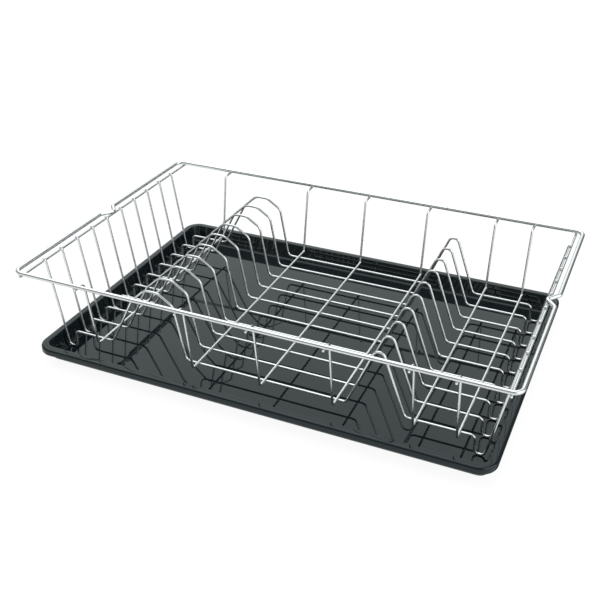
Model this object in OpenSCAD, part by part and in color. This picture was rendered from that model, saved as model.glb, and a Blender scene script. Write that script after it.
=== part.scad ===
// Dish drying rack: a welded wire basket that stands in a moulded drip tray.
// The origin is at the middle of the tray's underside, +X along the rack, +Y to its back, +Z up.

/* [Overall] */
// Length over the rim wire
rack_length = 480; // [460:1:520]
// Depth over the rim wire
rack_depth = 306; // [300:1:340]
// Height of the rim wire's top above the table
rack_height = 100; // [98:1:120]

/* [Wire] */
// Diameter of the thick rim wire
rim_d = 4; // [3.6:0.1:4.5]
// Diameter of the thin basket wires
wire_d = 2.3; // [2:0.1:2.5]
// Depth to which two wires sink into each other at a weld
weld_sink = 0.1; // [0.05:0.01:0.15]
// How far a wire's cut end passes the outside of the rim
tip_past_rim = 0.3; // [0:0.1:2]
// How much the wire swells where it is bent, on its diameter
bend_swell = 0.04; // [0.04:0.01:0.06]

/* [Rim] */
// Bend radius of the rim's four corners, on the wire's centre line
rim_corner_r = 8; // [6:0.5:12]
// How far the V notch in each short side reaches inwards
notch_depth = 9.4; // [9:0.1:10]
// Half of the V notch's width
notch_half = 11.5; // [10:0.5:12]
// Bend radius of the V notch
notch_r = 3.5; // [3:0.5:4]
// Distance from a short side of the rim to the end bar beside it
bar_inset = 7.2; // [7:0.1:8]

/* [Plate wires] */
// Distance between neighbouring plate wires
plate_pitch = 26; // [24:0.5:26.5]
// Height of the basket floor's wires above the tray floor
floor_raise = 19.2; // [18:0.1:22]
// Width of a U foot, between its wire centre lines
foot_width = 9.2; // [8:0.1:9.5]
// Distance from the rim's centre line to the left feet's outer leg
foot_inset_left = 24.2; // [23:0.1:26]
// Distance from the rim's centre line to the right feet's outer leg
foot_inset_right = 27.3; // [24:0.1:30]
// Length of the floor run between the left feet and the wide hump
left_bay = 45.1; // [40:0.1:50]
// Width of the wide hump at the basket floor
wide_hump = 82; // [78:0.5:84]
// Height of the wide hump's flat top above the basket floor
wide_hump_h = 66.6; // [64:0.1:69]
// Length of the floor run between the two humps
middle_bay = 162.4; // [140:0.5:164]
// Width of the narrow hump at the basket floor
narrow_hump = 54.2; // [52:0.5:56]
// Height at which the narrow hump's two legs would meet
narrow_hump_h = 70.6; // [66:0.1:71]

/* [Cross wires] */
// Half of the distance between a cross wire's two floor bends
cross_floor_half = 129; // [126:0.5:131]
// Half of the distance between a cross wire's two top bends
cross_top_half = 139.5; // [136:0.5:142]
// Bend radius under the rim
cross_top_r = 5; // [4:0.5:6]
// Bend radius at the basket floor
cross_floor_r = 3; // [2.5:0.5:4]

/* [Drip tray] */
// Length over the tray's flange
tray_length = 453.6; // [450:0.1:456]
// Depth over the tray's flange
tray_depth = 309.4; // [308:0.1:314]
// Height of the flange's top above the table
tray_height = 19.5; // [18:0.1:21]
// Radius of the flange's outer corners
tray_corner_r = 17; // [17:0.5:24]
// Width of the flange's flat top
flange_w = 7.4; // [7:0.1:8]
// Height of the skirt that hangs from the flange
skirt_h = 6.8; // [6:0.1:8]
// Thickness of the moulding
tray_t = 2; // [1.8:0.1:2.2]
// How far the inner wall leans outwards between floor and flange
wall_draft = 3; // [2:0.1:3.2]
// Radius between the floor and the wall, inside
tray_inner_r = 7; // [5:0.1:7]
// Radius between the underside and the wall, outside
tray_outer_r = 9.5; // [9:0.1:9.8]

/* [Hidden] */
$fn = 36;

plates = 10;
rest_gap = 0.1;
into_bend = 0.15;
rim_x = (rack_length - rim_d) / 2;
rim_y = (rack_depth - rim_d) / 2;
rim_z = rack_height - rim_d / 2;
bar_x = rim_x - bar_inset;
bar_z = rim_z - (rim_d + wire_d) / 2 + weld_sink;
tip_y = rack_depth / 2 + tip_past_rim;
hook_z = bar_z + wire_d - weld_sink;
hook_r = wire_d - weld_sink;
hook_tip = 0.5;
foot_z = tray_t + rest_gap + wire_d / 2;
floor_z = tray_t + floor_raise;
cross_z = floor_z + wire_d - weld_sink;

// Where the plate wires' profile turns, from left to right.
foot_leg_left = -rim_x + foot_inset_left;
riser_left = foot_leg_left + foot_width;
wide_start = riser_left + left_bay;
wide_end = wide_start + wide_hump;
narrow_start = wide_end + middle_bay;
narrow_end = narrow_start + narrow_hump;
foot_leg_right = rim_x - foot_inset_right;
riser_right = foot_leg_right - foot_width;

// The wide hump's four bends, as shares of its width and of its height.
wide_bends = [[0.327, 0.79], [0.51, 1], [0.68, 1], [0.872, 0.845]];
// The narrow hump leans slightly towards the right.
narrow_peak = 0.53;

// Cross wires sit beside the humps and in the middle of the middle bay.
cross_x = [
    wide_start - 9,
    wide_end + 13.8,
    (wide_end + narrow_start) / 2 + 2.1,
    narrow_start - 8.2,
    narrow_end + 10.8,
    riser_right - 13.2
];

chrome = [0.78, 0.79, 0.8];
black_plastic = [0.1, 0.11, 0.115];

function unit(v) = v / norm(v);

// A frame whose Z axis is z and whose X axis is x, placed at origin o.
function placed(x, z, o) = let (y = cross(z, x)) [
    [x[0], y[0], z[0], o[0]],
    [x[1], y[1], z[1], o[1]],
    [x[2], y[2], z[2], o[2]],
    [0, 0, 0, 1]
];

// Half of the angle between the two straights that meet at corner b.
function half_angle(a, b, c) = acos(unit(a - b) * unit(c - b)) / 2;

// How much of each straight the bend at corner b takes.
function bend_cut(a, b, c, r) = r / tan(half_angle(a, b, c));

// One straight length of wire from a to b, in the plane whose normal is n.
module straight(a, b, d, n) {
    multmatrix(placed(cross(unit(b - a), n), unit(b - a), a))
        cylinder(h = norm(b - a), d = d);
}

// One bend of radius r at corner b, between the straights from a and to c.
module bend(a, b, c, r, d) {
    along = unit(b - a);
    centre = b + unit(unit(a - b) + unit(c - b)) * r / sin(half_angle(a, b, c));
    start = b - along * bend_cut(a, b, c, r);
    outwards = unit(start - centre);
    multmatrix(placed(outwards, cross(outwards, along), centre))
        rotate_extrude(angle = 180 - 2 * half_angle(a, b, c))
            translate([r, 0])
                circle(d = d + bend_swell);
}

// A wire bent in one plane. p lists its corners, r the bend radius at each corner, n the plane's
// normal. A closed wire joins its last corner to its first, and an open one ends in cut faces.
// Each straight runs a little way into the bends at its ends.
module bent_wire(p, r, d, n, closed = false) {
    count = len(p);
    cut = [for (i = [0:count - 1]) r[i] == 0 ? 0 :
        bend_cut(p[(i + count - 1) % count], p[i], p[(i + 1) % count], r[i]) - into_bend];
    for (i = [0:count - (closed ? 1 : 2)]) {
        a = p[i];
        b = p[(i + 1) % count];
        straight(a + unit(b - a) * cut[i], b - unit(b - a) * cut[(i + 1) % count], d, n);
    }
    for (i = [0:count - 1])
        if (r[i] > 0)
            bend(p[(i + count - 1) % count], p[i], p[(i + 1) % count], r[i], d);
}

// The half of the rim from its right back corner to its left front one; the other half is its turn.
function rim_half() = [
    [rim_x, rim_y, rim_z],
    [-rim_x, rim_y, rim_z],
    [-rim_x, notch_half, rim_z],
    [-rim_x + notch_depth, 0, rim_z],
    [-rim_x, -notch_half, rim_z]
];

module rim_wire() {
    half = rim_half();
    radii = [rim_corner_r, rim_corner_r, notch_r, notch_r, notch_r];
    color(chrome)
        bent_wire(
            concat(half, [for (q = half) [-q[0], -q[1], q[2]]]),
            concat(radii, radii),
            rim_d, [0, 0, 1], closed = true
        );
}

module end_bar(side) {
    color(chrome)
        straight([side * bar_x, -tip_y, bar_z], [side * bar_x, tip_y, bar_z], wire_d, [1, 0, 0]);
}

// Where a hook turns down: its bend is concentric with the end bar, and its leg leads down to x at the foot.
function hook_turn(x) = let (lean = atan((bar_x - hook_r - x) / (hook_z - foot_z)))
    bar_x - hook_r * (1 - sin(lean)) / cos(lean);

// The profile of a plate wire as [x, z, bend radius], from its left hook to its right one.
function plate_profile() = concat(
    [
        [-bar_x - hook_tip, hook_z, 0],
        [-hook_turn(-foot_leg_left), hook_z, hook_r],
        [foot_leg_left, foot_z, 4.2],
        [riser_left, foot_z, 4.2],
        [riser_left, floor_z, 4.8],
        [wide_start, floor_z, 7]
    ],
    [for (i = [0:3]) [
        wide_start + wide_bends[i][0] * wide_hump,
        floor_z + wide_bends[i][1] * wide_hump_h,
        [9, 12, 12, 9][i]
    ]],
    [
        [wide_end, floor_z, 6],
        [narrow_start, floor_z, 4.5],
        [narrow_start + narrow_peak * narrow_hump, floor_z + narrow_hump_h, 5.7],
        [narrow_end, floor_z, 6],
        [riser_right, floor_z, 4.5],
        [riser_right, foot_z, 4.2],
        [foot_leg_right, foot_z, 4.2],
        [hook_turn(foot_leg_right), hook_z, hook_r],
        [bar_x + hook_tip, hook_z, 0]
    ]
);

// Plate wire number i, counted from the front.
module plate_wire(i) {
    profile = plate_profile();
    y = (i - (plates + 1) / 2) * plate_pitch;
    color(chrome)
        bent_wire([for (q = profile) [q[0], y, q[1]]], [for (q = profile) q[2]], wire_d, [0, 1, 0]);
}

// Cross wire number i, counted from the left. Its ends pass under the front and back of the rim.
module cross_wire(i) {
    x = cross_x[i - 1];
    color(chrome)
        bent_wire(
            [
                [x, -tip_y, bar_z],
                [x, -cross_top_half, bar_z],
                [x, -cross_floor_half, cross_z],
                [x, cross_floor_half, cross_z],
                [x, cross_top_half, bar_z],
                [x, tip_y, bar_z]
            ],
            [0, cross_top_r, cross_floor_r, cross_floor_r, cross_top_r, 0],
            wire_d, [1, 0, 0]
        );
}

// An outline whose corners are rounded. Each corner is [x, y, radius], and steps cut its arc.
function rounded(p, steps = 8) = [
    for (i = [0:len(p) - 1])
        let (
            a = [for (k = [0:1]) p[(i + len(p) - 1) % len(p)][k]],
            b = [p[i][0], p[i][1]],
            c = [for (k = [0:1]) p[(i + 1) % len(p)][k]],
            r = p[i][2]
        )
        if (r == 0) b
        else
            let (
                half = half_angle(a, b, c),
                centre = b + unit(unit(a - b) + unit(c - b)) * r / sin(half),
                from = b + unit(a - b) * r / tan(half) - centre,
                turn = sign(cross(b - a, c - b)) * (180 - 2 * half)
            )
            for (k = [0:steps])
                let (t = turn * k / steps)
                centre + [from[0] * cos(t) - from[1] * sin(t), from[0] * sin(t) + from[1] * cos(t)]
];

// Section through the tray's wall. u = 0 is the centre of the corner's arcs.
function wall_section() =
    let (
        inner_top = tray_corner_r - flange_w,
        inner_floor = inner_top - wall_draft,
        skirt_z = tray_height - skirt_h
    )
    rounded([
        [0, 0, 0],
        [inner_floor + tray_t - 0.3, 0, tray_outer_r],
        [inner_top + tray_t, tray_height - tray_t, 0.6],
        [tray_corner_r - tray_t, tray_height - tray_t, 0.6],
        [tray_corner_r - tray_t, skirt_z, 0.5],
        [tray_corner_r, skirt_z, 0.7],
        [tray_corner_r, tray_height, 2.2],
        [inner_top, tray_height, 1],
        [inner_floor, tray_t, tray_inner_r],
        [0, tray_t, 0]
    ]);

// One straight side of the tray's wall, of the given length, at the end of an arm of length reach.
module tray_side(reach, side_length) {
    translate([reach, side_length / 2, 0])
        rotate([90, 0, 0])
            linear_extrude(height = side_length)
                polygon(wall_section());
}

module tray_corner() {
    rotate_extrude(angle = 90, $fn = 72)
        polygon(wall_section());
}

module drip_tray() {
    arm_x = tray_length / 2 - tray_corner_r;
    arm_y = tray_depth / 2 - tray_corner_r;
    color(black_plastic) {
        translate([-arm_x, -arm_y, 0])
            cube([2 * arm_x, 2 * arm_y, tray_t]);
        for (s = [0, 1]) {
            rotate([0, 0, 180 * s]) {
                tray_side(arm_x, 2 * arm_y);
                translate([arm_x, arm_y, 0])
                    tray_corner();
            }
            rotate([0, 0, 90 + 180 * s]) {
                tray_side(arm_y, 2 * arm_x);
                translate([arm_y, arm_x, 0])
                    tray_corner();
            }
        }
    }
}

drip_tray();
rim_wire();
end_bar(-1);  // end_bar_left
end_bar(1);  // end_bar_right
plate_wire(1);  // plate_wire_01
plate_wire(2);  // plate_wire_02
plate_wire(3);  // plate_wire_03
plate_wire(4);  // plate_wire_04
plate_wire(5);  // plate_wire_05
plate_wire(6);  // plate_wire_06
plate_wire(7);  // plate_wire_07
plate_wire(8);  // plate_wire_08
plate_wire(9);  // plate_wire_09
plate_wire(10);  // plate_wire_10
cross_wire(1);  // cross_wire_01
cross_wire(2);  // cross_wire_02
cross_wire(3);  // cross_wire_03
cross_wire(4);  // cross_wire_04
cross_wire(5);  // cross_wire_05
cross_wire(6);  // cross_wire_06
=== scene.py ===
import math
import random

import bpy
from mathutils import Matrix, Vector


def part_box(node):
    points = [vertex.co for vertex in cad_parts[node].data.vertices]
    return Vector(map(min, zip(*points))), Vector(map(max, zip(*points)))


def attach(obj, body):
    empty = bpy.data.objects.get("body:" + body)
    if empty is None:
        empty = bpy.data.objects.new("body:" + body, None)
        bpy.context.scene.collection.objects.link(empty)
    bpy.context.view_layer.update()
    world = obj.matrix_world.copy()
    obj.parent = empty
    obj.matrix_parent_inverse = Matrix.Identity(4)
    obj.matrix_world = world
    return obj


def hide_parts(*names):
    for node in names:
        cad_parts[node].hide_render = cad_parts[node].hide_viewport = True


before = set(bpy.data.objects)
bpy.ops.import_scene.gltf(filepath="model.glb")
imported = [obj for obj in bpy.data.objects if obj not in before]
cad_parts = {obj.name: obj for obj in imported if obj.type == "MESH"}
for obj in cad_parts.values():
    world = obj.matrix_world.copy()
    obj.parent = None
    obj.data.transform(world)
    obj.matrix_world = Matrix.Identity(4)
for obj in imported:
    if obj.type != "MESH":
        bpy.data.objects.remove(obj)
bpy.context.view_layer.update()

MM = 0.001
X, Y, Z = Vector((1, 0, 0)), Vector((0, 1, 0)), Vector((0, 0, 1))

# Sizes in millimetres that the CAD nodes' boxes don't give.
RIM_D = 4.0
WIRE_D = 2.3
WELD_SINK = 0.1
RIM_CORNER_R = 8.0
NOTCH_DEPTH, NOTCH_HALF, NOTCH_R = 9.4, 11.5, 3.5
HOOK_TIP = 0.5
FOOT_WIDTH, FOOT_R = 9.2, 4.2
FOOT_INSET_LEFT, FOOT_INSET_RIGHT = 24.2, 27.3
FLOOR_RAISE = 19.2
LEFT_BAY, MIDDLE_BAY = 45.1, 162.4
RISER_LEFT_R, RISER_RIGHT_R = 4.8, 4.5
WIDE_HUMP, WIDE_HUMP_H = 82.0, 66.6
WIDE_START_R, WIDE_END_R = 7.0, 6.0
# [share of the hump's width, share of its height, bend radius]
WIDE_BENDS = [(0.327, 0.79, 9), (0.51, 1, 12), (0.68, 1, 12), (0.872, 0.845, 9)]
NARROW_HUMP, NARROW_HUMP_H = 54.2, 70.6
NARROW_PEAK, NARROW_PEAK_R = 0.53, 5.7
NARROW_START_R, NARROW_END_R = 4.5, 6.0
CROSS_FLOOR_HALF, CROSS_TOP_HALF = 129.0, 139.5
CROSS_TOP_R, CROSS_FLOOR_R = 5.0, 3.0
TRAY_CORNER_R, TRAY_T = 17.0, 2.0
FLANGE_W, SKIRT_H = 7.4, 6.8
# How far the walls lean in, the longer ones more, and how much thinner they are at the floor.
WALL_DRAFT, LONG_WALL_DRAFT, WALL_TAPER = 3.0, 6.0, 0.3
TRAY_INNER_R, TRAY_OUTER_R = 4.2, 6.7
FLANGE_EDGE_R, LIP_R = 2.2, 1.0
SKIRT_OUTER_R, SKIRT_INNER_R, GROOVE_R = 0.7, 0.5, 0.6

# Details that only the visual model has, in millimetres.
CUT_CHAMFER = 0.22
RING_SPACING, RIM_RING_SPACING = 25, 20
WIRE_SIDES, RIM_SIDES = 20, 32
SEAM_X = 97
SEAM_DEPTH, SEAM_WIDTH, SEAM_REACH = 0.16, 0.35, 3
SEAM_OFFSETS = [-2.4, -1.6, -1.1, -0.8, -0.55, -0.35, -0.15, 0, 0.15, 0.35, 0.55, 0.8, 1.1, 1.6, 2.4]
FLOOR_WELD, HOOK_WELD, RIM_WELD = 0.9, 0.6, 1.25


# --- Meshes -----------------------------------------------------------------------------------

def new_object(name, verts, faces, material, sharp_angle=40):
    """A smooth-shaded mesh object, with verts in millimetres."""
    mesh = bpy.data.meshes.new(name)
    mesh.from_pydata([Vector(v) * MM for v in verts], [], faces)
    mesh.validate()
    mesh.shade_smooth()
    mesh.set_sharp_from_angle(angle=math.radians(sharp_angle))
    mesh.materials.append(material)
    obj = bpy.data.objects.new(name, mesh)
    bpy.context.scene.collection.objects.link(obj)
    return obj


def centre(node):
    """The middle of a CAD node's box, in millimetres."""
    low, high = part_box(node)
    return (Vector(low) + Vector(high)) / 2 / MM


def half_size(node):
    low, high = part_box(node)
    return (Vector(high) - Vector(low)) / 2 / MM


def bend(before, corner, after, radius):
    """Start, centre, axis, angle and incoming direction of the arc that rounds a corner."""
    into = (corner - before).normalized()
    out = (after - corner).normalized()
    turn = into.angle(out)
    axis = into.cross(out).normalized()
    start = corner - into * radius * math.tan(turn / 2)
    return start, start + axis.cross(into) * radius, axis, turn, into


def bent_path(corners, radii, step=math.radians(6)):
    """(point, direction) along a wire that is bent at its corners. An open wire's end radii are 0."""
    path = []
    for i, corner in enumerate(corners):
        before = corners[i - 1]
        after = corners[(i + 1) % len(corners)]
        if radii[i] == 0:
            path.append((corner, (after - corner if i == 0 else corner - before).normalized()))
            continue
        start, arc_centre, axis, turn, into = bend(before, corner, after, radii[i])
        steps = max(3, math.ceil(turn / step))
        for k in range(steps + 1):
            spin = Matrix.Rotation(turn * k / steps, 3, axis)
            path.append((arc_centre + spin @ (start - arc_centre), spin @ into))
    return path


def stretched(path, spacing, closed=False):
    """The path with extra points, so that none of its straights is longer than spacing."""
    out = []
    last = len(path) if closed else len(path) - 1
    for i in range(last):
        point, direction = path[i]
        gap = path[(i + 1) % len(path)][0] - point
        parts = max(1, math.ceil(gap.length / spacing))
        out += [(point + gap * k / parts, direction) for k in range(parts)]
    return out if closed else out + [path[-1]]


def chamfered(rings):
    """The rings of an open wire with its two cut ends chamfered."""
    (p0, d0, r0), (p1, d1, r1) = rings[0], rings[-1]
    start = [(p0, d0, r0 - CUT_CHAMFER), (p0 + d0 * CUT_CHAMFER, d0, r0)]
    end = [(p1 - d1 * CUT_CHAMFER, d1, r1), (p1, d1, r1 - CUT_CHAMFER)]
    return start + rings[1:-1] + end


def tube(name, path, diameter, normal, closed=False, sides=WIRE_SIDES, groove=None):
    """A round chrome wire along a flat path, with normal across the path's plane.

    groove(point) is how much the wire's radius is cut there.
    """
    rings = []
    for point, direction in path:
        cut = groove(point) if groove else 0
        rings.append((point, direction, diameter / 2 - cut))
    if not closed:
        rings = chamfered(rings)
    verts, faces = [], []
    for point, direction, r in rings:
        side = direction.cross(normal).normalized()
        for k in range(sides):
            a = 2 * math.pi * k / sides
            verts.append(point + side * (r * math.cos(a)) + normal * (r * math.sin(a)))
    spans = len(rings) if closed else len(rings) - 1
    for i in range(spans):
        j = (i + 1) % len(rings)
        for k in range(sides):
            m = (k + 1) % sides
            faces.append((i * sides + k, j * sides + k, j * sides + m, i * sides + m))
    if not closed:
        faces.append(tuple(range(sides)))
        faces.append(tuple((len(rings) - 1) * sides + k for k in reversed(range(sides))))
    return new_object(name, verts, faces, chrome)


def weld_nugget(place, size, rng, turns=16, layers=5):
    """The metal squeezed out where two wires cross: a thin cushion with a lobe in each corner."""
    thin, plain, lobe_out, uneven, tip = 0.42, 0.95, 0.42, 0.05, 0.02
    verts, faces = [], []
    for j in range(layers + 1):
        lift = math.pi * (j / layers - 0.5)
        for k in range(turns):
            a = 2 * math.pi * k / turns
            lobe = plain + lobe_out * math.sin(2 * a) ** 2 + rng.uniform(-uneven, uneven)
            reach = size * lobe * math.cos(lift) ** 0.6 if 0 < j < layers else tip
            height = thin * size * math.sin(lift)
            verts.append(place + Vector((reach * math.cos(a), reach * math.sin(a), height)))
    for j in range(layers):
        for k in range(turns):
            m = (k + 1) % turns
            faces.append((j * turns + k, j * turns + m, (j + 1) * turns + m, (j + 1) * turns + k))
    faces.append(tuple(reversed(range(turns))))
    faces.append(tuple(layers * turns + k for k in range(turns)))
    return verts, faces


def weld_group(name, places, size, seed):
    rng = random.Random(seed)
    verts, faces = [], []
    for place in places:
        v, f = weld_nugget(place, size, rng)
        faces += [tuple(len(verts) + i for i in face) for face in f]
        verts += v
    return new_object(name, verts, faces, weld_metal, sharp_angle=80)


# --- Materials --------------------------------------------------------------------------------

def new_material(name):
    material = bpy.data.materials.new(name)
    material.use_nodes = True
    tree = material.node_tree
    return material, tree, tree.nodes["Principled BSDF"]


def noise(tree, coords, scale, detail=3.0):
    node = tree.nodes.new("ShaderNodeTexNoise")
    node.inputs["Scale"].default_value = scale
    node.inputs["Detail"].default_value = detail
    tree.links.new(coords, node.inputs["Vector"])
    return node.outputs["Fac"]


def ramp(tree, value, low, high, start=0.3, end=0.7):
    node = tree.nodes.new("ShaderNodeMapRange")
    node.inputs["From Min"].default_value = start
    node.inputs["From Max"].default_value = end
    node.inputs["To Min"].default_value = low
    node.inputs["To Max"].default_value = high
    tree.links.new(value, node.inputs["Value"])
    return node.outputs["Result"]


def bump(tree, height, distance, strength, under=None):
    node = tree.nodes.new("ShaderNodeBump")
    node.inputs["Strength"].default_value = strength
    node.inputs["Distance"].default_value = distance
    tree.links.new(height, node.inputs["Height"])
    if under:
        tree.links.new(under, node.inputs["Normal"])
    return node.outputs["Normal"]


def object_coords(tree):
    return tree.nodes.new("ShaderNodeTexCoord").outputs["Object"]


def chrome_material():
    """Satin chrome plating, with a slightly uneven polish and fine drawing marks."""
    material, tree, shader = new_material("chrome_wire")
    coords = object_coords(tree)
    shader.inputs["Base Color"].default_value = (0.915, 0.905, 0.91, 1)
    shader.inputs["Metallic"].default_value = 1.0
    mottle = noise(tree, coords, scale=90)
    tree.links.new(ramp(tree, mottle, low=0.24, high=0.32), shader.inputs["Roughness"])
    drawn = noise(tree, coords, scale=600, detail=2.0)
    tree.links.new(bump(tree, drawn, distance=0.000005, strength=0.3), shader.inputs["Normal"])
    return material


def weld_material():
    """The duller, grainy metal of a weld under the plating."""
    material, tree, shader = new_material("weld_metal")
    coords = object_coords(tree)
    shader.inputs["Base Color"].default_value = (0.74, 0.74, 0.73, 1)
    shader.inputs["Metallic"].default_value = 1.0
    grain = noise(tree, coords, scale=1500)
    tree.links.new(ramp(tree, grain, low=0.18, high=0.4), shader.inputs["Roughness"])
    tree.links.new(bump(tree, grain, distance=0.00015, strength=0.6), shader.inputs["Normal"])
    return material


def plastic_material():
    """Glossy black plastic, with wide sink marks, a faint orange peel and smears in its polish."""
    material, tree, shader = new_material("black_plastic")
    coords = object_coords(tree)
    shader.inputs["Base Color"].default_value = (0.005, 0.0085, 0.011, 1)
    shader.inputs["IOR"].default_value = 1.46
    shader.inputs["Specular IOR Level"].default_value = 0.5
    shader.inputs["Specular Tint"].default_value = (0.92, 1, 1, 1)
    smear = noise(tree, coords, scale=25, detail=4.0)
    tree.links.new(ramp(tree, smear, low=0.012, high=0.03), shader.inputs["Roughness"])
    sink = noise(tree, coords, scale=9, detail=1.0)
    peel = noise(tree, coords, scale=120, detail=2.0)
    wavy = bump(tree, sink, distance=0.0006, strength=0.5)
    peeled = bump(tree, peel, distance=0.000006, strength=0.5, under=wavy)
    tree.links.new(peeled, shader.inputs["Normal"])
    return material


chrome = chrome_material()
weld_metal = weld_material()
plastic = plastic_material()


# --- The basket -------------------------------------------------------------------------------

rim_half = half_size("rim_wire")
rim_x = rim_half.x - RIM_D / 2
rim_y = rim_half.y - RIM_D / 2
rim_z = centre("rim_wire").z
bar_x, bar_z = centre("end_bar_right").x, centre("end_bar_right").z
tip_y = half_size("end_bar_right").y
hook_r = WIRE_D - WELD_SINK
hook_z = bar_z + hook_r
foot_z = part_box("plate_wire_01")[0][2] / MM + WIRE_D / 2
floor_z = TRAY_T + FLOOR_RAISE
cross_z = floor_z + WIRE_D - WELD_SINK

# Where the plate wires' profile turns, from left to right.
foot_leg_left = -rim_x + FOOT_INSET_LEFT
riser_left = foot_leg_left + FOOT_WIDTH
wide_start = riser_left + LEFT_BAY
wide_end = wide_start + WIDE_HUMP
narrow_start = wide_end + MIDDLE_BAY
narrow_end = narrow_start + NARROW_HUMP
foot_leg_right = rim_x - FOOT_INSET_RIGHT
riser_right = foot_leg_right - FOOT_WIDTH

PLATES = ["plate_wire_%02d" % i for i in range(1, 11)]
CROSSES = ["cross_wire_%02d" % i for i in range(1, 7)]


def keep(obj, node):
    """obj stands for a wire of the basket."""
    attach(obj, "basket")
    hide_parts(node)


def seam_rings(path, seam):
    """The path with close rings round the butt weld that closes the rim."""
    for i, (point, direction) in enumerate(path):
        ahead = path[(i + 1) % len(path)][0]
        if abs(point.y - seam.y) < 0.01 and min(point.x, ahead.x) < seam.x < max(point.x, ahead.x):
            rings = [(seam + direction * s, direction) for s in SEAM_OFFSETS]
            return path[:i + 1] + rings + path[i + 1:]
    return path


def seam_groove(point, seam):
    away = (point - seam).length
    return SEAM_DEPTH * math.exp(-(away / SEAM_WIDTH) ** 2) if away < SEAM_REACH else 0


def draw_rim():
    half = [
        (rim_x, rim_y, RIM_CORNER_R),
        (-rim_x, rim_y, RIM_CORNER_R),
        (-rim_x, NOTCH_HALF, NOTCH_R),
        (-rim_x + NOTCH_DEPTH, 0, NOTCH_R),
        (-rim_x, -NOTCH_HALF, NOTCH_R),
    ]
    corners = half + [(-x, -y, r) for x, y, r in half]
    path = bent_path([Vector((x, y, rim_z)) for x, y, _ in corners], [r for _, _, r in corners])
    seam = Vector((SEAM_X, rim_y, rim_z))
    path = seam_rings(stretched(path, RIM_RING_SPACING, closed=True), seam)
    rim = tube(
        "rim_wire_bent", path, RIM_D, Z,
        closed=True, sides=RIM_SIDES, groove=lambda point: seam_groove(point, seam),
    )
    keep(rim, "rim_wire")


def draw_bars():
    for node in ("end_bar_left", "end_bar_right"):
        x = centre(node).x
        path = bent_path([Vector((x, -tip_y, bar_z)), Vector((x, tip_y, bar_z))], [0, 0])
        keep(tube(node + "_cut", stretched(path, RING_SPACING), WIRE_D, X), node)


def hook_turn(foot_x):
    """Where a hook turns down, with its bend concentric with the end bar."""
    lean = math.atan((bar_x - hook_r - foot_x) / (hook_z - foot_z))
    return bar_x - hook_r * (1 - math.sin(lean)) / math.cos(lean)


def plate_profile():
    """[x, z, bend radius] from the left hook to the right one."""
    wide_hump = [
        (wide_start + across * WIDE_HUMP, floor_z + up * WIDE_HUMP_H, r)
        for across, up, r in WIDE_BENDS
    ]
    peak_x = narrow_start + NARROW_PEAK * NARROW_HUMP
    return [
        (-bar_x - HOOK_TIP, hook_z, 0),
        (-hook_turn(-foot_leg_left), hook_z, hook_r),
        (foot_leg_left, foot_z, FOOT_R),
        (riser_left, foot_z, FOOT_R),
        (riser_left, floor_z, RISER_LEFT_R),
        (wide_start, floor_z, WIDE_START_R),
        *wide_hump,
        (wide_end, floor_z, WIDE_END_R),
        (narrow_start, floor_z, NARROW_START_R),
        (peak_x, floor_z + NARROW_HUMP_H, NARROW_PEAK_R),
        (narrow_end, floor_z, NARROW_END_R),
        (riser_right, floor_z, RISER_RIGHT_R),
        (riser_right, foot_z, FOOT_R),
        (foot_leg_right, foot_z, FOOT_R),
        (hook_turn(foot_leg_right), hook_z, hook_r),
        (bar_x + HOOK_TIP, hook_z, 0),
    ]


def draw_plate_wires():
    profile = plate_profile()
    for node in PLATES:
        y = centre(node).y
        path = bent_path([Vector((x, y, z)) for x, z, _ in profile], [r for _, _, r in profile])
        keep(tube(node + "_bent", stretched(path, RING_SPACING), WIRE_D, Y), node)


def draw_cross_wires():
    half = [
        (-tip_y, bar_z, 0),
        (-CROSS_TOP_HALF, bar_z, CROSS_TOP_R),
        (-CROSS_FLOOR_HALF, cross_z, CROSS_FLOOR_R),
    ]
    corners = half + [(-y, z, r) for y, z, r in reversed(half)]
    for node in CROSSES:
        x = centre(node).x
        path = bent_path([Vector((x, y, z)) for y, z, _ in corners], [r for _, _, r in corners])
        keep(tube(node + "_bent", stretched(path, RING_SPACING), WIRE_D, X), node)


def draw_welds():
    plate_ys = [centre(node).y for node in PLATES]
    cross_xs = [centre(node).x for node in CROSSES]
    floor_weld_z = floor_z + (WIRE_D - WELD_SINK) / 2
    hook_weld_z = bar_z + (WIRE_D - WELD_SINK) / 2
    rim_weld_z = rim_z - RIM_D / 2 + WELD_SINK / 2
    on_floor = [(x, y, floor_weld_z) for x in cross_xs for y in plate_ys]
    on_bars = [(s * bar_x, y, hook_weld_z) for s in (-1, 1) for y in plate_ys]
    on_rim = [(x, s * rim_y, rim_weld_z) for x in [-bar_x, *cross_xs, bar_x] for s in (-1, 1)]
    on_rim += [(s * bar_x, 0, rim_weld_z) for s in (-1, 1)]
    groups = [
        ("welds_floor", on_floor, FLOOR_WELD),
        ("welds_hooks", on_bars, HOOK_WELD),
        ("welds_rim", on_rim, RIM_WELD),
    ]
    for seed, (name, places, size) in enumerate(groups):
        welds = weld_group(name, [Vector(place) for place in places], size, seed)
        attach(welds, "basket")


draw_rim()
draw_bars()
draw_plate_wires()
draw_cross_wires()
draw_welds()


# --- The drip tray ----------------------------------------------------------------------------

def rounded_outline(corners, steps=8):
    """(u, z) along an open profile whose inner corners are rounded to their radii."""
    points = [Vector((u, 0, z)) for u, z, _ in corners]
    out = []
    for i, corner in enumerate(points):
        radius = corners[i][2]
        if radius == 0:
            out.append((corner.x, corner.z))
            continue
        start, arc_centre, axis, turn, _ = bend(points[i - 1], corner, points[i + 1], radius)
        for k in range(steps + 1):
            p = arc_centre + Matrix.Rotation(turn * k / steps, 3, axis) @ (start - arc_centre)
            out.append((p.x, p.z))
    return out


# The signs of x and y in the four quarters, anticlockwise.
QUARTERS = [(1, 1), (-1, 1), (-1, -1), (1, -1)]


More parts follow.
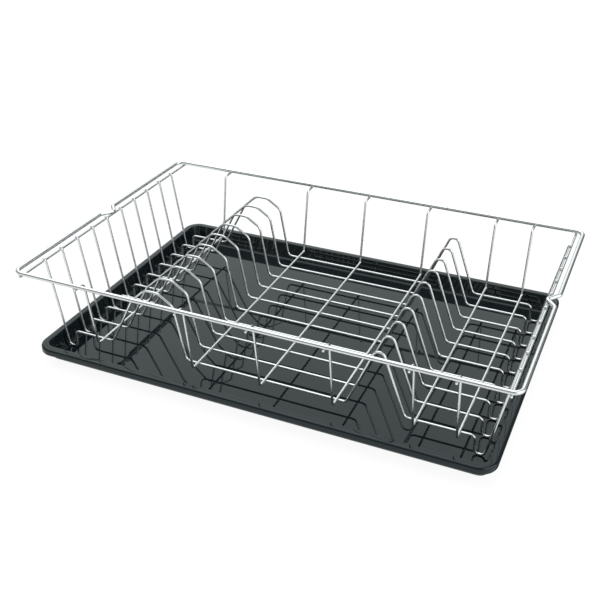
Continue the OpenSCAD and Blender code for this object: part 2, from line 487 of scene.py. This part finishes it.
def tray_ring(u, v, z, arm_x, arm_y, corner_steps=16, side_steps=24):
    """One closed ring of the tray, u and v outside the rectangle of its corners' centres."""
    middles = [Vector((sx * arm_x, sy * arm_y, z)) for sx, sy in QUARTERS]
    ring = []
    for quarter, middle in enumerate(middles):
        for k in range(corner_steps + 1):
            a = math.pi / 2 * (quarter + k / corner_steps)
            shift = Vector((u * math.cos(a), v * math.sin(a), 0))
            ring.append(middle + shift)
        following = middles[(quarter + 1) % 4]
        for k in range(1, side_steps):
            ring.append(middle.lerp(following, k / side_steps) + shift)
    return ring


def tray_profile(height, draft):
    """(distance outwards, z) round the wall's section, from the floor's top to its underside."""
    inner_top = TRAY_CORNER_R - FLANGE_W
    inner_floor = inner_top - draft
    outer_floor = inner_floor + TRAY_T - WALL_TAPER
    skirt_z = height - SKIRT_H
    floor_edge = 0.5
    return rounded_outline([
        (floor_edge, TRAY_T, 0),
        (inner_floor, TRAY_T, TRAY_INNER_R),
        (inner_top, height, LIP_R),
        (TRAY_CORNER_R, height, FLANGE_EDGE_R),
        (TRAY_CORNER_R, skirt_z, SKIRT_OUTER_R),
        (TRAY_CORNER_R - TRAY_T, skirt_z, SKIRT_INNER_R),
        (TRAY_CORNER_R - TRAY_T, height - TRAY_T, GROOVE_R),
        (inner_top + TRAY_T, height - TRAY_T, GROOVE_R),
        (outer_floor, 0, TRAY_OUTER_R),
        (floor_edge, 0, 0),
    ])


def shrunk(ring, share):
    return [Vector((p.x * share, p.y * share, p.z)) for p in ring]


def draw_tray():
    """The moulding, whose front and back walls lean in more than its short ones."""
    size = half_size("drip_tray")
    height = 2 * size.z
    arm_x, arm_y = size.x - TRAY_CORNER_R, size.y - TRAY_CORNER_R
    along_x = tray_profile(height, WALL_DRAFT)
    along_y = tray_profile(height, LONG_WALL_DRAFT)
    profile = [
        tray_ring(u, v, (zu + zv) / 2, arm_x, arm_y)
        for (u, zu), (v, zv) in zip(along_x, along_y)
    ]
    floor_rings = 14
    shares = [k / floor_rings for k in range(1, floor_rings)]
    rings = [shrunk(profile[0], share) for share in shares]
    rings += profile
    rings += [shrunk(profile[-1], share) for share in reversed(shares)]
    count = len(profile[0])
    verts = [p for ring in rings for p in ring]
    faces = []
    for i in range(len(rings) - 1):
        for k in range(count):
            m = (k + 1) % count
            faces.append((i * count + k, (i + 1) * count + k, (i + 1) * count + m, i * count + m))
    faces.append(tuple(range(count)))
    faces.append(tuple((len(rings) - 1) * count + k for k in reversed(range(count))))
    tray = new_object("drip_tray_moulded", verts, faces, plastic, sharp_angle=50)
    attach(tray, "tray")
    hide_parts("drip_tray")


draw_tray()


# --- Floor, light and camera ------------------------------------------------------------------

FLOOR_REACH = 12000
FLOOR_Z = -0.3
CAMERA_PLACE = (0.3051, -0.7158, 0.5009)
CAMERA_TURN = (math.radians(59.506), 0, math.radians(23.865))
CAMERA_LENS = 53.63
LIGHT_TINT = (0.925, 0.99, 0.985, 1)
WHITE = (1, 1, 1, 1)


def draw_stage():
    """A white floor that glows like a light table, so that the shadow on it stays faint."""
    material, tree, shader = new_material("pale_floor")
    shader.inputs["Base Color"].default_value = (0.12, 0.12, 0.12, 1)
    shader.inputs["Roughness"].default_value = 1.0
    shader.inputs["Specular IOR Level"].default_value = 0.0
    shader.inputs["Emission Color"].default_value = WHITE
    shader.inputs["Emission Strength"].default_value = 0.93
    corners = [(sx * FLOOR_REACH, sy * FLOOR_REACH, FLOOR_Z) for sx, sy in QUARTERS]
    floor = new_object("studio_floor", corners, [(0, 1, 2, 3)], material)
    floor.visible_glossy = False


def facing(tree, direction, towards, start, end, low, high):
    """low to high, as the cosine between direction and the given one goes from start to end."""
    dot = tree.nodes.new("ShaderNodeVectorMath")
    dot.operation = "DOT_PRODUCT"
    dot.inputs[1].default_value = Vector(towards).normalized()
    tree.links.new(direction, dot.inputs[0])
    fall = tree.nodes.new("ShaderNodeMapRange")
    fall.interpolation_type = "SMOOTHSTEP"
    fall.inputs["From Min"].default_value = start
    fall.inputs["From Max"].default_value = end
    fall.inputs["To Min"].default_value = low
    fall.inputs["To Max"].default_value = high
    tree.links.new(dot.outputs["Value"], fall.inputs["Value"])
    return fall.outputs["Result"]


def total(tree, values):
    """The sum of two or more node outputs."""
    running = values[0]
    for value in values[1:]:
        node = tree.nodes.new("ShaderNodeMath")
        tree.links.new(running, node.inputs[0])
        tree.links.new(value, node.inputs[1])
        running = node.outputs["Value"]
    return running


def light_scene():
    """A light tent, bright at the back left, overhead and on the right, over a table darker behind."""
    world = bpy.data.worlds.new("light_tent")
    bpy.context.scene.world = world
    world.use_nodes = True
    tree = world.node_tree
    direction = tree.nodes.new("ShaderNodeTexCoord").outputs["Generated"]
    tent = facing(tree, direction, (-0.45, 0.75, 0.48), start=0.72, end=0.93, low=0.22, high=1.13)
    lamp = facing(tree, direction, (-0.25, 0.1, 0.96), start=0.74, end=0.93, low=0.0, high=1.3)
    side = facing(tree, direction, (0.9, -0.15, 0.4), start=0.72, end=0.93, low=0.0, high=1.6)
    table = facing(tree, direction, (0.15, -1.0, 0.1), start=-0.75, end=-0.1, low=0.06, high=0.85)
    above = facing(tree, direction, (0, 0, 1), start=-0.03, end=0.03, low=0.0, high=1.0)
    mix = tree.nodes.new("ShaderNodeMix")
    tree.links.new(above, mix.inputs["Factor"])
    tree.links.new(table, mix.inputs["A"])
    tree.links.new(total(tree, [tent, lamp, side]), mix.inputs["B"])
    tent_light = tree.nodes["Background"]
    tent_light.inputs["Color"].default_value = LIGHT_TINT
    tree.links.new(mix.outputs["Result"], tent_light.inputs["Strength"])
    # The tent lights the rack, and behind the floor's edge the picture shows a plain white backdrop.
    backdrop = tree.nodes.new("ShaderNodeBackground")
    backdrop.inputs["Color"].default_value = WHITE
    seen = tree.nodes.new("ShaderNodeMixShader")
    tree.links.new(tree.nodes.new("ShaderNodeLightPath").outputs["Is Camera Ray"], seen.inputs["Fac"])
    tree.links.new(tent_light.outputs["Background"], seen.inputs[1])
    tree.links.new(backdrop.outputs["Background"], seen.inputs[2])
    tree.links.new(seen.outputs["Shader"], tree.nodes["World Output"].inputs["Surface"])
    bpy.context.scene.view_settings.view_transform = "Standard"


def add_camera():
    data = bpy.data.cameras.new("photo_view")
    data.sensor_width = 36
    data.lens = CAMERA_LENS
    data.clip_start, data.clip_end = 0.01, 100
    camera = bpy.data.objects.new("photo_view", data)
    bpy.context.scene.collection.objects.link(camera)
    camera.location = CAMERA_PLACE
    camera.rotation_euler = CAMERA_TURN
    bpy.context.scene.camera = camera


draw_stage()
light_scene()
add_camera()
